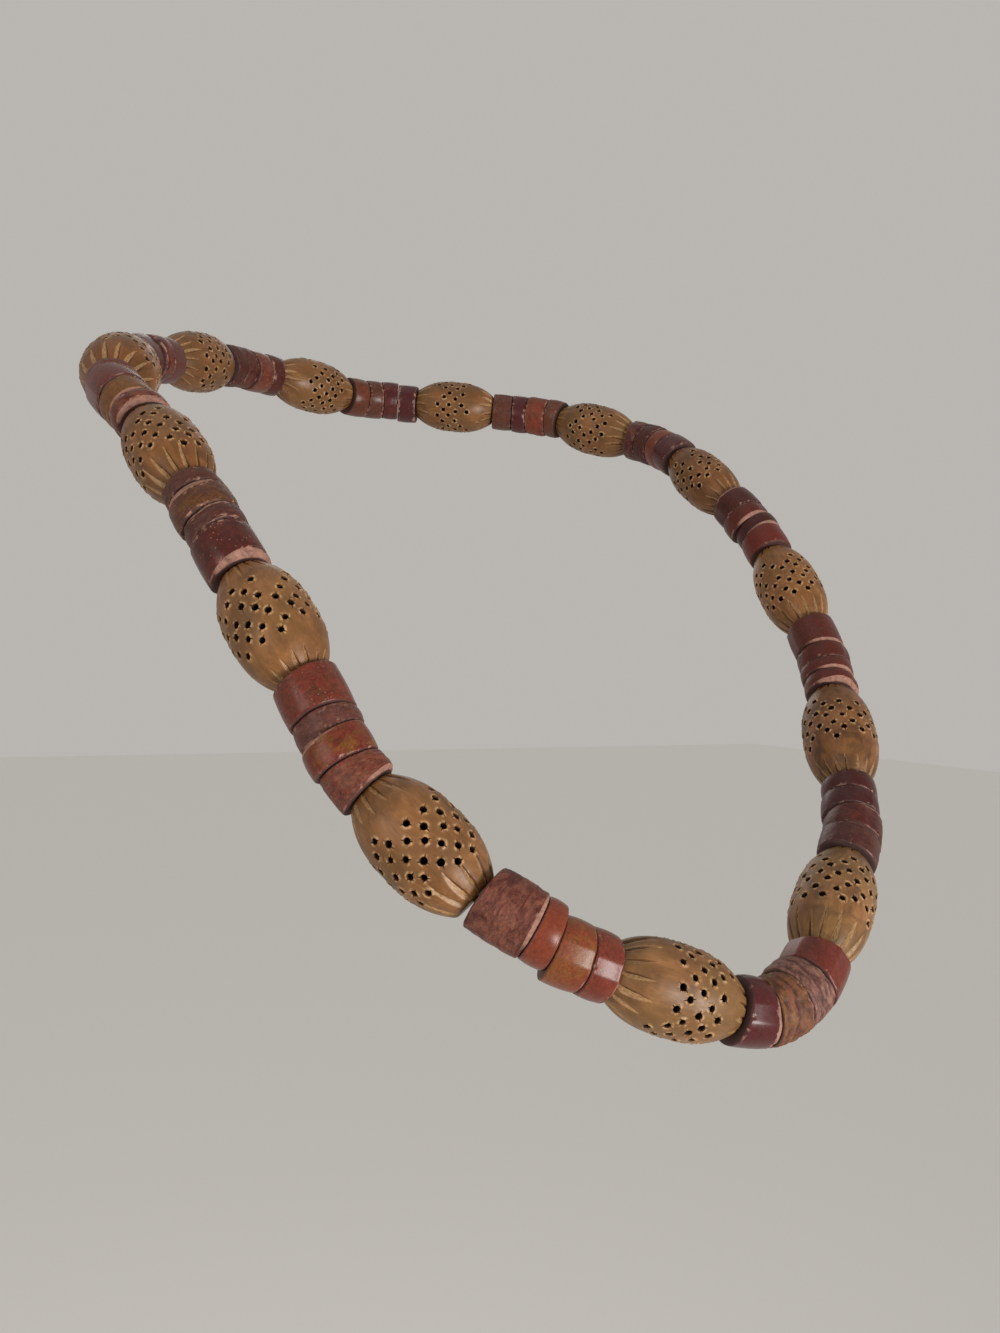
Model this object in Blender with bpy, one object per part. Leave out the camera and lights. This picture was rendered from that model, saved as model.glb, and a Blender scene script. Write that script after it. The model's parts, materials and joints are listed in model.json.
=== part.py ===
# A long necklace in its worn form: carved wooden barrel beads, with a stack of four red discs
# between each pair, on one closed loop of thread. Metres, +Z up. The front hangs towards -Y,
# +X is the wearer's left, and the origin is the middle of the string at the nape.

import math

import bmesh
import bpy
import numpy as np
from mathutils import Matrix, Vector
from mathutils.geometry import interpolate_bezier

# Wooden beads
BEAD_DIAMETER = 0.0176
BEAD_LENGTH = 0.0276
BEAD_END_DIAMETER = 0.0092
BELLY_POWER = 2.7
FLUTE_COUNT = 16
FLUTE_LENGTH = 0.0076
FLUTE_DEPTH = 0.0008
HOLE_ROWS = 4
HOLE_WIDTH = 0.0014
HOLE_DEPTH = 0.0011

# Discs: each turn constant is how far, in radians, one disc's irregularity lies round from the last's
DISC_DIAMETER = 0.0132
DISC_THICKNESS = 0.0060
DISC_SIDES = 14
DISC_VARIATION = 0.05
DISC_SHIFT = 0.0005
DISC_LUMP = 0.03
DISC_TURN = 2.4
OVAL_TURN = 1.7
CORNER_TURN = 2.9
JOINT_GAP = 0.0003
JOINT_OPENING = 0.15
JOINT_TILT = math.radians(4)
HUB_DIAMETER = 0.0076

# Thread
BORE_DIAMETER = 0.0024
BORE_SIDES = 8
THREAD_DIAMETER = 0.0015
CLEARANCE = 0.0003

# The middle of the string, from the front bead round past +X, the nape and -X
STRING_ROUTE = [
    (-0.014, -0.1975, -0.152),
    (0.008, -0.200, -0.156),
    (0.034, -0.192, -0.144),
    (0.065, -0.166, -0.113),
    (0.081, -0.1315, -0.070),
    (0.081, -0.092, -0.032),
    (0.075, -0.052, -0.012),
    (0.045, -0.020, -0.002),
    (0.000, 0.000, 0.000),
    (-0.050, -0.018, -0.002),
    (-0.092, -0.070, -0.023),
    (-0.087, -0.113, -0.050),
    (-0.073, -0.1475, -0.088),
    (-0.055, -0.177, -0.128),
    (-0.0345, -0.1905, -0.142),
]

# One row for each wooden bead and the discs that follow it, as shares of the sizes above:
# bead diameter, bead length, and the thickness of each of the four discs
STRING_PIECES = [
    (0.96, 0.94, (1.10, 0.85, 1.10, 0.90)),
    (0.95, 1.02, (1.10, 0.95, 0.90, 0.80)),
    (1.00, 1.05, (1.45, 0.80, 0.75, 0.65)),
    (0.98, 1.03, (1.15, 0.80, 0.80, 1.15)),
    (0.91, 1.00, (1.00, 0.90, 1.05, 0.95)),
    (0.98, 1.00, (0.85, 1.15, 0.90, 1.05)),
    (1.00, 0.99, (1.05, 0.90, 0.95, 1.05)),
    (0.99, 1.01, (0.90, 1.10, 1.05, 0.90)),
    (1.00, 1.00, (1.00, 0.85, 1.10, 0.95)),
    (1.07, 1.00, (0.85, 1.15, 1.05, 0.70)),
    (0.97, 0.96, (0.65, 0.95, 0.80, 1.50)),
    (1.03, 0.96, (1.40, 0.65, 0.90, 0.95)),
    (1.01, 1.00, (1.50, 0.80, 0.70, 0.85)),
]

CURVE_STEPS = 25
FITTING_ROUNDS = 12
SHARP_EDGE = math.radians(35)


class Line:
    """A curve as a dense row of points, read by the distance along it."""

    def __init__(self, points):
        self.points = np.array([tuple(point) for point in points])
        steps = np.linalg.norm(np.diff(self.points, axis=0), axis=1)
        self.along = np.concatenate([[0.0], np.cumsum(steps)])
        self.length = self.along[-1]

    def at(self, distance):
        return Vector([np.interp(distance, self.along, self.points[:, k]) for k in range(3)])

    def way(self, distance):
        near = self.length / len(self.points)
        return (self.at(distance + near) - self.at(distance - near)).normalized()


class Loop(Line):
    """A closed curve, whose distances wrap round."""

    def at(self, distance):
        return super().at(distance % self.length)

    def reached(self, start, reach):
        """The distance along the curve of the point that lies straight across from start by reach."""
        distance = start + reach
        for _ in range(FITTING_ROUNDS):
            distance += reach - (self.at(distance) - self.at(start)).length
        return distance


def clear_scene():
    for item in list(bpy.data.objects):
        bpy.data.objects.remove(item, do_unlink=True)


def material(name, color, roughness):
    made = bpy.data.materials.new(name)
    made.use_nodes = True
    shader = made.node_tree.nodes["Principled BSDF"]
    shader.inputs["Base Color"].default_value = (*color, 1.0)
    shader.inputs["Roughness"].default_value = roughness
    shader.inputs["Metallic"].default_value = 0.0
    return made


def add_object(name, bm, place, look):
    """Makes an object of a shape that is built round its own origin, and puts it in place."""
    bmesh.ops.recalc_face_normals(bm, faces=bm.faces)
    mesh = bpy.data.meshes.new(name)
    bm.to_mesh(mesh)
    bm.free()
    mesh.materials.append(look)
    mesh.shade_smooth()
    mesh.set_sharp_from_angle(angle=SHARP_EDGE)
    made = bpy.data.objects.new(name, mesh)
    made.matrix_world = place
    bpy.context.scene.collection.objects.link(made)


def frame_along(origin, way):
    """A place at origin whose Z axis points along way."""
    return Matrix.Translation(origin) @ way.to_track_quat("Z", "Y").to_matrix().to_4x4()


def string_loop(scale):
    """The closed route, each of whose tangents is parallel to the chord of its two neighbours."""
    knots = [Vector(point) * scale for point in STRING_ROUTE]
    points = [knots[0]]
    for index, knot in enumerate(knots):
        before, after, beyond = (knots[(index + step) % len(knots)] for step in (-1, 1, 2))
        reach = (after - knot).length / 3
        leave = knot + (after - before).normalized() * reach
        arrive = after - (beyond - knot).normalized() * reach
        points += interpolate_bezier(knot, leave, arrive, after, CURVE_STEPS)[1:]
    return Loop(points)


def joint_opening(bend):
    """The gap at the middle of a joint between two discs of a stack that bends by this angle."""
    return JOINT_GAP + DISC_DIAMETER / 2 * math.sin(JOINT_OPENING * bend / 3)


def stack_length(shares, bend):
    joints = (len(shares) - 1) * joint_opening(bend)
    return sum(shares) * DISC_THICKNESS + joints + 2 * CLEARANCE


def string_up(loop):
    """The two ends of each wooden bead, as distances along the loop, and where the next would start."""
    start = -STRING_PIECES[0][1] * BEAD_LENGTH / 2
    beads = []
    for _, length, shares in STRING_PIECES:
        end = loop.reached(start, length * BEAD_LENGTH)
        beads.append((start, end))
        following = loop.reached(end, stack_length(shares, 0))
        bend = loop.way((start + end) / 2).angle(loop.way(following + length * BEAD_LENGTH / 2))
        start = loop.reached(end, stack_length(shares, bend))
    return beads, start


def fitted_string():
    """The route at the size at which the last disc comes back to the first bead."""
    scale = 1.0
    for _ in range(FITTING_ROUNDS):
        loop = string_loop(scale)
        beads, finish = string_up(loop)
        scale *= (finish - beads[0][0]) / loop.length
    return [(loop.at(start), loop.at(end)) for start, end in beads]


def ring(bm, place, radii):
    """A ring of vertices round the Z axis of place, with one radius for each."""
    turns = [2 * math.pi * index / len(radii) for index in range(len(radii))]
    return [
        bm.verts.new(place @ Vector((radius * math.cos(turn), radius * math.sin(turn), 0)))
        for turn, radius in zip(turns, radii)
    ]


def skin(bm, near, far):
    """Faces between two rings: quads where their counts match, and triangles where they don't."""
    if len(near) == len(far):
        pairs = [(index, (index + 1) % len(near)) for index in range(len(near))]
        return [bm.faces.new((near[a], near[b], far[b], far[a])) for a, b in pairs]
    faces = []
    at_near, at_far = 0, 0
    while at_near < len(near) or at_far < len(far):
        corners = [near[at_near % len(near)], far[at_far % len(far)]]
        if (at_near + 1) * len(far) <= (at_far + 1) * len(near):
            at_near += 1
            corners.insert(1, near[at_near % len(near)])
        else:
            at_far += 1
            corners.insert(1, far[at_far % len(far)])
        faces.append(bm.faces.new(corners))
    return faces


def bead_radius(diameter, length, height):
    """The barrel's radius at a height from its middle."""
    end = BEAD_END_DIAMETER / 2
    return diameter / 2 - (diameter / 2 - end) * abs(2 * height / length) ** BELLY_POWER


def fluted(radius, depth):
    """Radii that step in and out, from the floor of one flute over the ridge to the next."""
    return [radius - depth, radius] * FLUTE_COUNT


def bead_shape(diameter, length):
    """A barrel with a bore, V-shaped flutes that run out towards its middle, and drilled holes."""
    bm = bmesh.new()
    flute_tip = length / 2 - FLUTE_LENGTH
    flute_middle = length / 2 - FLUTE_LENGTH / 2
    heights = np.linspace(-flute_tip, flute_tip, HOLE_ROWS + 1)
    belly = [
        ring(bm, Matrix.Translation((0, 0, height)), [bead_radius(diameter, length, height)] * FLUTE_COUNT)
        for height in heights
    ]
    rows = [skin(bm, low, high) for low, high in zip(belly, belly[1:])]
    bores = []
    for side, tip in ((-1, belly[0]), (1, belly[-1])):
        knee = ring(
            bm,
            Matrix.Translation((0, 0, side * flute_middle)),
            fluted(bead_radius(diameter, length, flute_middle), FLUTE_DEPTH / 2),
        )
        end = Matrix.Translation((0, 0, side * length / 2))
        rim = ring(bm, end, fluted(BEAD_END_DIAMETER / 2, FLUTE_DEPTH))
        bores.append(ring(bm, end, [BORE_DIAMETER / 2] * BORE_SIDES))
        skin(bm, tip, knee)
        skin(bm, knee, rim)
        skin(bm, rim, bores[-1])
    skin(bm, *bores)
    bmesh.ops.recalc_face_normals(bm, faces=bm.faces)
    drill(bm, [face for index, row in enumerate(rows) for face in row[index % 2 :: 2]])
    return bm


def drill(bm, faces):
    """Sinks a square hole in the middle of each face."""
    bmesh.ops.inset_individual(bm, faces=faces, thickness=HOLE_WIDTH / 4)
    for face in faces:
        middle = face.calc_center_median()
        corners = [(vert, vert.co - middle) for vert in face.verts]
        for vert, out in corners:
            around = Vector((out.x, out.y, 0)).normalized()
            corner = (around + Vector((0, 0, math.copysign(1, out.z)))) * HOLE_WIDTH / 2
            vert.co = middle + corner - corner.project(face.normal)
    bmesh.ops.poke(bm, faces=faces, offset=-HOLE_DEPTH)


def bent_line(start, start_way, end, end_way):
    """A round bend that leaves one bead along its axis and meets the next along its own."""
    reach = (end - start).length / (3 * math.cos(start_way.angle(end_way) / 4) ** 2)
    corners = (start, start + start_way * reach, end - end_way * reach, end)
    return Line(interpolate_bezier(*corners, 2 * CURVE_STEPS))


def disc_radii(serial):
    """The outline of one disc, a little larger or smaller and less round than the next one."""
    size = DISC_DIAMETER / 2 * (1 + DISC_VARIATION * math.sin(DISC_TURN * serial))
    radii = []
    for index in range(DISC_SIDES):
        turn = 2 * math.pi * index / DISC_SIDES
        oval = math.sin(2 * turn + OVAL_TURN * serial)
        corners = math.sin(3 * turn + CORNER_TURN * serial) / 2
        radii.append(size * (1 + DISC_LUMP * (oval + corners)))
    return radii


def disc_stack_shape(line, start_way, end_way, shares, serial):
    """Four discs that follow the bend, joined by a thin hub, with one bore through them all."""
    bm = bmesh.new()
    upright = start_way.to_track_quat("Z", "Y")

    def place(distance, way):
        turn = start_way.rotation_difference(way) @ upright
        return Matrix.Translation(line.at(distance)) @ turn.to_matrix().to_4x4()

    def sideways(k):
        turn = DISC_TURN * (serial + k)
        return Vector((math.cos(turn), math.sin(turn), 0))

    gap = joint_opening(start_way.angle(end_way))
    solid = line.length - 2 * CLEARANCE - (len(shares) - 1) * gap
    starts = [CLEARANCE + solid * sum(shares[:k]) / sum(shares) + gap * k for k in range(len(shares))]
    ends = [start + solid * share / sum(shares) for start, share in zip(starts, shares)]
    joints = [
        (line.way(end) + math.tan(JOINT_TILT) * (upright @ sideways(k))).normalized()
        for k, end in enumerate(ends)
    ]
    rings = []
    for k, (start, end) in enumerate(zip(starts, ends)):
        own_way = line.way((start + end) / 2)
        near_way = own_way.lerp(joints[k - 1], 1 - JOINT_OPENING) if k > 0 else start_way
        far_way = own_way.lerp(joints[k], 1 - JOINT_OPENING) if k < len(shares) - 1 else end_way
        shift = Matrix.Translation(DISC_SHIFT * sideways(k))
        if k > 0:
            hub = place(start - gap / 2, joints[k - 1])
            rings.append(ring(bm, hub, [HUB_DIAMETER / 2] * DISC_SIDES))
        for distance, way in ((start, near_way), (end, far_way)):
            rings.append(ring(bm, place(distance, way) @ shift, disc_radii(serial + k)))
    for near, far in zip(rings, rings[1:]):
        skin(bm, near, far)
    middle = line.length / 2
    bore = [
        ring(bm, place(distance, way), [BORE_DIAMETER / 2] * BORE_SIDES)
        for distance, way in ((starts[0], start_way), (middle, line.way(middle)), (ends[-1], end_way))
    ]
    for near, far in zip([rings[0], *bore], [*bore, rings[-1]]):
        skin(bm, near, far)
    return bm


def add_thread(points, look):
    """The thread, as a closed round line through the middles of all the bores."""
    curve = bpy.data.curves.new("thread", "CURVE")
    curve.dimensions = "3D"
    curve.bevel_depth = THREAD_DIAMETER / 2
    curve.bevel_resolution = 1
    curve.materials.append(look)
    spline = curve.splines.new("POLY")
    spline.points.add(len(points) - 1)
    for point, place in zip(spline.points, points):
        point.co = (*place, 1)
    spline.use_cyclic_u = True
    made = bpy.data.objects.new("thread", curve)
    bpy.context.scene.collection.objects.link(made)


def build():
    clear_scene()
    wood = material("carved_wood", (0.33, 0.19, 0.10), 0.45)
    stone = material("red_stone", (0.30, 0.045, 0.035), 0.30)
    cord = material("waxed_thread", (0.05, 0.03, 0.025), 0.80)
    beads = fitted_string()
    thread_points = []
    for index, (diameter, length, shares) in enumerate(STRING_PIECES):
        start, end = beads[index]
        next_start, next_end = beads[(index + 1) % len(beads)]
        way, next_way = (end - start).normalized(), (next_end - next_start).normalized()
        shape = bead_shape(diameter * BEAD_DIAMETER, length * BEAD_LENGTH)
        add_object(f"wood_bead_{index + 1:02}", shape, frame_along((start + end) / 2, way), wood)
        line = bent_line(end, way, next_start, next_way)
        shape = disc_stack_shape(line, way, next_way, shares, len(shares) * index)
        middle = frame_along(line.at(line.length / 2), way)
        shape.transform(middle.inverted())
        add_object(f"disc_stack_{index + 1:02}", shape, middle, stone)
        thread_points += [start, end, line.at(line.length / 2)]
    add_thread(thread_points, cord)


build()
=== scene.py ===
import json
import math
from functools import partial

import bmesh
import bpy
import numpy as np
from mathutils import Matrix, Vector
from mathutils.geometry import interpolate_bezier

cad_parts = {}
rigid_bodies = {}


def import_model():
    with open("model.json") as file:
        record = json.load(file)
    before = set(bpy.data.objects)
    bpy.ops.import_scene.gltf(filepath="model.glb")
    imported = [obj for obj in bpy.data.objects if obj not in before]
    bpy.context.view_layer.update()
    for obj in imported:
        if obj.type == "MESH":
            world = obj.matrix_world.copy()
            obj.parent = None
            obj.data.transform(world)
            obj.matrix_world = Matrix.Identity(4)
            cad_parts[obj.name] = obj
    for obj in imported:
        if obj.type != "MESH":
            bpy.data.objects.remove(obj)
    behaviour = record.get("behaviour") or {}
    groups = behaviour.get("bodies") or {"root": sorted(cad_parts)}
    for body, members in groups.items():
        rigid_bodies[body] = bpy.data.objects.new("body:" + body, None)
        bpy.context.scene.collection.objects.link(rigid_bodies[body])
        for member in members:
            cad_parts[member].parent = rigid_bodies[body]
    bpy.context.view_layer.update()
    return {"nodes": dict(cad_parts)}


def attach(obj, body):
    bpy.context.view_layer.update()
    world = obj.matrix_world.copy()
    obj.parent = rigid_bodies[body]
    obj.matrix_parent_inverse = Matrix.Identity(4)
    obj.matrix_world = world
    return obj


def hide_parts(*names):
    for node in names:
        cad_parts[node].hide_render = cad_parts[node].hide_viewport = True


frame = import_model()

# Metres throughout; a value whose name ends in Mm is in millimetres.
mm = 0.001
scene = bpy.context.scene
print("stage: frame loaded")


def colorFromHex(text):
    # sRGB hex to the linear colour that the shaders take
    parts = [int(text[start:start + 2], 16) / 255 for start in (1, 3, 5)]
    linear = [part / 12.92 if part <= 0.04045 else ((part + 0.055) / 1.055) ** 2.4 for part in parts]
    return (*linear, 1.0)


def addNode(tree, kind, sockets=(), **settings):
    # one node, its settings, and a value or a link for each socket, by name or in order
    node = tree.nodes.new(kind)
    for name, value in settings.items():
        setattr(node, name, value)
    for socket, value in sockets.items() if isinstance(sockets, dict) else enumerate(sockets):
        if isinstance(value, bpy.types.Node):
            value = value.outputs[0]
        if isinstance(value, bpy.types.NodeSocket):
            tree.links.new(value, node.inputs[socket])
        else:
            node.inputs[socket].default_value = value
    return node


def newMaterial(name):
    # the material, and the adding function bound to its tree
    made = bpy.data.materials.new(name)
    made.use_nodes = True
    made.node_tree.nodes.clear()
    return made, partial(addNode, made.node_tree)


def addObject(name, mesh):
    made = bpy.data.objects.new(name, mesh)
    scene.collection.objects.link(made)
    return made


# Camera, backdrop and light

viewValues = {
    "place": (-0.12933, -0.33267, -0.09340),
    "turn": -29.887,       # degrees round the vertical, from looking along +Y
    "down": 0.098,
    "roll": 1.726,
    "lens": 26.83,
}

studioValues = {
    "floorHeight": -1.0,
    "floorReach": 9.0,
    "floorColor": "#F8F7F4",
    "worldColor": "#C6C3BE",
    "worldStrength": 0.86,
}

lightValues = [
    # name, place, aim, size, power, colour, spread of the beam in degrees
    ("windowLight", (0.17, -0.92, -0.24), (0.0, -0.18, -0.12), 0.30, 2.6, "#FFFCF8", 120),
    ("sideLight", (-0.80, -0.45, 0.05), (-0.05, -0.15, -0.08), 0.50, 1.7, "#FFF8EE", 180),
    ("ceilingLight", (-0.30, -0.15, 0.95), (0.0, -0.12, -0.08), 0.80, 0.6, "#F4F8FF", 180),
    ("backLight", (0.25, 0.80, 0.35), (0.0, -0.08, -0.05), 0.60, 1.2, "#FFFDF8", 180),
]


def makeCamera():
    data = bpy.data.cameras.new("photoView")
    data.lens = viewValues["lens"]
    data.sensor_width = 36.0
    data.clip_start = 0.005
    made = addObject("photoView", data)
    turn = Matrix.Rotation(math.radians(viewValues["turn"]), 4, "Z")
    tip = Matrix.Rotation(math.radians(90 - viewValues["down"]), 4, "X")
    roll = Matrix.Rotation(math.radians(viewValues["roll"]), 4, "Z")
    made.matrix_world = Matrix.Translation(viewValues["place"]) @ turn @ tip @ roll
    scene.camera = made


def makeStudio():
    material, add = newMaterial("paleMattPaper")
    shader = add("ShaderNodeBsdfPrincipled", {
        "Base Color": colorFromHex(studioValues["floorColor"]), "Roughness": 0.9})
    add("ShaderNodeOutputMaterial", {"Surface": shader})
    reach, height = studioValues["floorReach"], studioValues["floorHeight"]
    mesh = bpy.data.meshes.new("studioFloor")
    corners = [(x * reach, y * reach, height) for x, y in ((-1, -1), (1, -1), (1, 1), (-1, 1))]
    mesh.from_pydata(corners, [], [(0, 1, 2, 3)])
    mesh.materials.append(material)
    floor = addObject("studioFloor", mesh)

    world = bpy.data.worlds.new("softRoom")
    scene.world = world
    world.use_nodes = True
    background = world.node_tree.nodes["Background"]
    background.inputs["Color"].default_value = colorFromHex(studioValues["worldColor"])
    background.inputs["Strength"].default_value = studioValues["worldStrength"]
    for name, place, aim, size, power, color, spread in lightValues:
        data = bpy.data.lights.new(name, "AREA")
        data.shape = "SQUARE"
        data.size = size
        data.energy = power
        data.color = colorFromHex(color)[:3]
        data.spread = math.radians(spread)
        lamp = addObject(name, data)
        way = Vector(aim) - Vector(place)
        lamp.matrix_world = Matrix.Translation(place) @ way.to_track_quat("-Z", "Y").to_matrix().to_4x4()
    scene.view_settings.view_transform = "Standard"


makeCamera()
makeStudio()
print("stage: camera, backdrop and light")


# Where the string's pieces lie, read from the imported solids

beadCount = 13


def beadEnds(name):
    # the middles of a bead's two flat ends, and its widest diameter
    node = frame["nodes"][name]
    points = np.array([tuple(node.matrix_world @ vert.co) for vert in node.data.vertices])
    points = np.unique(np.round(points, 6), axis=0)
    middle = points.mean(axis=0)
    axis = np.linalg.svd(points - middle, full_matrices=False)[2][0]
    along = (points - middle) @ axis
    near = 0.3 * mm
    ends = [points[along < along.min() + near].mean(axis=0), points[along > along.max() - near].mean(axis=0)]
    axis = (ends[1] - ends[0]) / np.linalg.norm(ends[1] - ends[0])
    away = points - ends[0]
    across = np.linalg.norm(away - np.outer(away @ axis, axis), axis=1)
    return Vector(ends[0]), Vector(ends[1]), 2 * across.max()


def stringBeads():
    # the beads in their order round the neck, each turned so that it points to the next
    found = [beadEnds(f"wood_bead_{number:02}") for number in range(1, beadCount + 1)]
    ordered = []
    for index, (start, end, diameter) in enumerate(found):
        following = found[(index + 1) % beadCount]
        ahead = (following[0] + following[1]) / 2
        if (start - ahead).length < (end - ahead).length:
            start, end = end, start
        ordered.append((start, end, diameter))
    return ordered


beads = stringBeads()
neckMiddle = sum(((start + end) / 2 for start, end, _ in beads), Vector()) / beadCount


def placeAlong(origin, way):
    # Z runs along the string, X points away from the neck
    outward = origin - neckMiddle
    outward = (outward - way * outward.dot(way)).normalized()
    side = way.cross(outward)
    return Matrix.Translation(origin) @ Matrix((outward, side, way)).transposed().to_4x4()


# Wood: boxwood-like close-grained wood, turned, carved with a knife, drilled and rubbed with oil.
# The eye gets a satin tan skin, short fine pores along the bead, very dark drilled holes, painted shade on
# the steep walls of the knife cuts, a painted highlight on their flat walls and pale rubbed burrs.

woodValues = {
    "palest": "#946A44",
    "middle": "#7F5836",
    "darkest": "#654529",
    "hole": "#1F1008",
    # smudge also paints the shade on the steep walls of the knife cuts, and edge paints the highlight on
    # their flat walls as well as the pale burrs
    "smudge": "#38241A",
    "edge": "#C29C70",
    "poreLengthMm": 3.2,
    "poreWidthMm": 0.28,
    "patchMm": 6.0,
    "ringWidthMm": 2.2,
    "ringLengthMm": 30,
    "hueMm": 11,
    "smudgeMm": 4.5,
    "olive": "#6B5430",
    "roughness": 0.34,
    "gloss": 0.30,
}


def makeWood():
    material, add = newMaterial("oiledCarvedWood")
    place, tone, smudged, flute, nearHole, drilled = [
        add("ShaderNodeAttribute", attribute_name=name).outputs[output]
        for name, output in (("grainPlace", "Vector"), ("woodTone", "Color"), ("smudged", "Fac"),
                             ("fluteCut", "Fac"), ("nearHole", "Fac"), ("drilled", "Fac"))]

    # fibres and rings: noises stretched along the bead, one wave of the fibres to a pore's width
    across, along = 1 / (woodValues["poreWidthMm"] * mm), 1 / (woodValues["poreLengthMm"] * mm)
    fibrePlace = add("ShaderNodeMapping", {"Vector": place, "Scale": (across, across, along)})
    fibre = add("ShaderNodeTexNoise", {"Vector": fibrePlace, "Scale": 1.0, "Detail": 4.0, "Roughness": 0.6})
    across, along = 1 / (woodValues["ringWidthMm"] * mm), 1 / (woodValues["ringLengthMm"] * mm)
    ringPlace = add("ShaderNodeMapping", {"Vector": place, "Scale": (across, across, along)})
    rings = add("ShaderNodeTexNoise", {"Vector": ringPlace, "Scale": 1.0, "Detail": 2.0, "Distortion": 1.2})
    patch = add("ShaderNodeTexNoise", {
        "Vector": place, "Scale": 1 / (woodValues["patchMm"] * mm), "Detail": 3.0, "Distortion": 0.6})
    grain = add("ShaderNodeMath", (fibre, 0.22), operation="MULTIPLY")
    grain = add("ShaderNodeMath", (rings, 0.30, grain), operation="MULTIPLY_ADD")
    grain = add("ShaderNodeMath", (patch, 0.48, grain), operation="MULTIPLY_ADD")
    ramp = add("ShaderNodeValToRGB", (grain,))
    stops = ramp.color_ramp.elements
    stops.new(0.50)
    for stop, position, name in zip(stops, (0.36, 0.50, 0.62), ("darkest", "middle", "palest")):
        stop.position = position
        stop.color = colorFromHex(woodValues[name])
    hueNoise = add("ShaderNodeTexNoise", {
        "Vector": place, "Scale": 1 / (woodValues["hueMm"] * mm), "Detail": 2.0})
    hueMask = add("ShaderNodeMapRange", (hueNoise, 0.42, 0.62, 0.0, 0.40))
    hued = add("ShaderNodeMix", {0: hueMask, 6: ramp, 7: colorFromHex(woodValues["olive"])}, data_type="RGBA")
    toned = add("ShaderNodeMix", {0: 1.0, 6: hued.outputs[2], 7: tone},
                data_type="RGBA", blend_type="MULTIPLY")

    # thumb-dark smudges where the oil and skin have soaked in
    smudgeNoise = add("ShaderNodeTexNoise", {
        "Vector": place, "Scale": 1 / (woodValues["smudgeMm"] * mm), "Detail": 4.0, "Distortion": 1.0})
    smudgeEdge = add("ShaderNodeMapRange", (smudgeNoise, 0.46, 0.66, 0.0, 0.75))
    smudgeMask = add("ShaderNodeMath", (smudgeEdge, smudged), operation="MULTIPLY")

    # knife cuts: the steep wall is darkened as painted shade, the flat wall is lightened as a painted
    # highlight; burrs are rubbed pale too
    paintedSteepShade = add("ShaderNodeMapRange", (flute, -0.06, -0.30, 0.0, 0.60))
    paintedFlatHighlight = add("ShaderNodeMapRange", (flute, 0.02, 0.14, 0.0, 1.0))
    streaks = add("ShaderNodeMapRange", (fibre, 0.36, 0.60, 0.18, 0.55))
    burrMask = add("ShaderNodeMath", (nearHole, 0.85), operation="MULTIPLY")
    # pale: the painted highlight on the flat walls, and the pale burrs round the holes
    paleMask = add("ShaderNodeMath", (paintedFlatHighlight, streaks, burrMask), operation="MULTIPLY_ADD", use_clamp=True)
    color = toned.outputs[2]
    # the smudge colour lays both the smudges and the painted shade on the steep walls
    for mask, name in ((smudgeMask, "smudge"), (paintedSteepShade, "smudge"), (paleMask, "edge"), (drilled, "hole")):
        laid = add("ShaderNodeMix", {0: mask, 6: color, 7: colorFromHex(woodValues[name])}, data_type="RGBA")
        color = laid.outputs[2]

    satin = woodValues["roughness"]
    roughness = add("ShaderNodeMapRange", (grain, 0.4, 0.7, satin + 0.12, satin - 0.06))
    roughness = add("ShaderNodeMath", (drilled, 0.4, roughness), operation="MULTIPLY_ADD", use_clamp=True)
    bump = add("ShaderNodeBump", {"Strength": 0.35, "Distance": 0.06 * mm, "Height": fibre})
    shader = add("ShaderNodeBsdfPrincipled", {
        "Base Color": color, "Roughness": roughness, "Normal": bump, "IOR": 1.5,
        "Specular IOR Level": woodValues["gloss"]})
    add("ShaderNodeOutputMaterial", (shader,))
    return material


woodMaterial = makeWood()


# Wooden beads: a turned blank, whose flutes and holes are cut by one Geometry Nodes tree

beadValues = {
    "bellyPower": 2.7,
    "endDiameterMm": 9.2,
    "boreDiameterMm": 2.6,
    "rimMm": 0.35,
    "pointsAround": 288,
    "rowsAlong": 112,
    "fluteCount": 15,
    "fluteDepthMm": 0.85,
    "fluteWidth": 1.10,       # share of the room between two flutes
    "steepWall": 1.7,         # how much steeper than the flat wall
    "wanderMm": 6,
    "holeColumns": 13,
    "rowSpacingMm": 2.15,
    "holeWidthMm": 1.26,
    "holeDepthMm": 3.0,
    "nickLengthMm": 0.72,
    "burrHeightMm": 0.17,
    "tearMm": 0.75,
    "burrRoomMm": 0.32,       # taken off the diameter, so that the burrs stay inside the solid's own size
    "missingHoles": 0.05,
    "missingAtEnds": 0.45,
    "creaseDegrees": 28,
}

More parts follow.
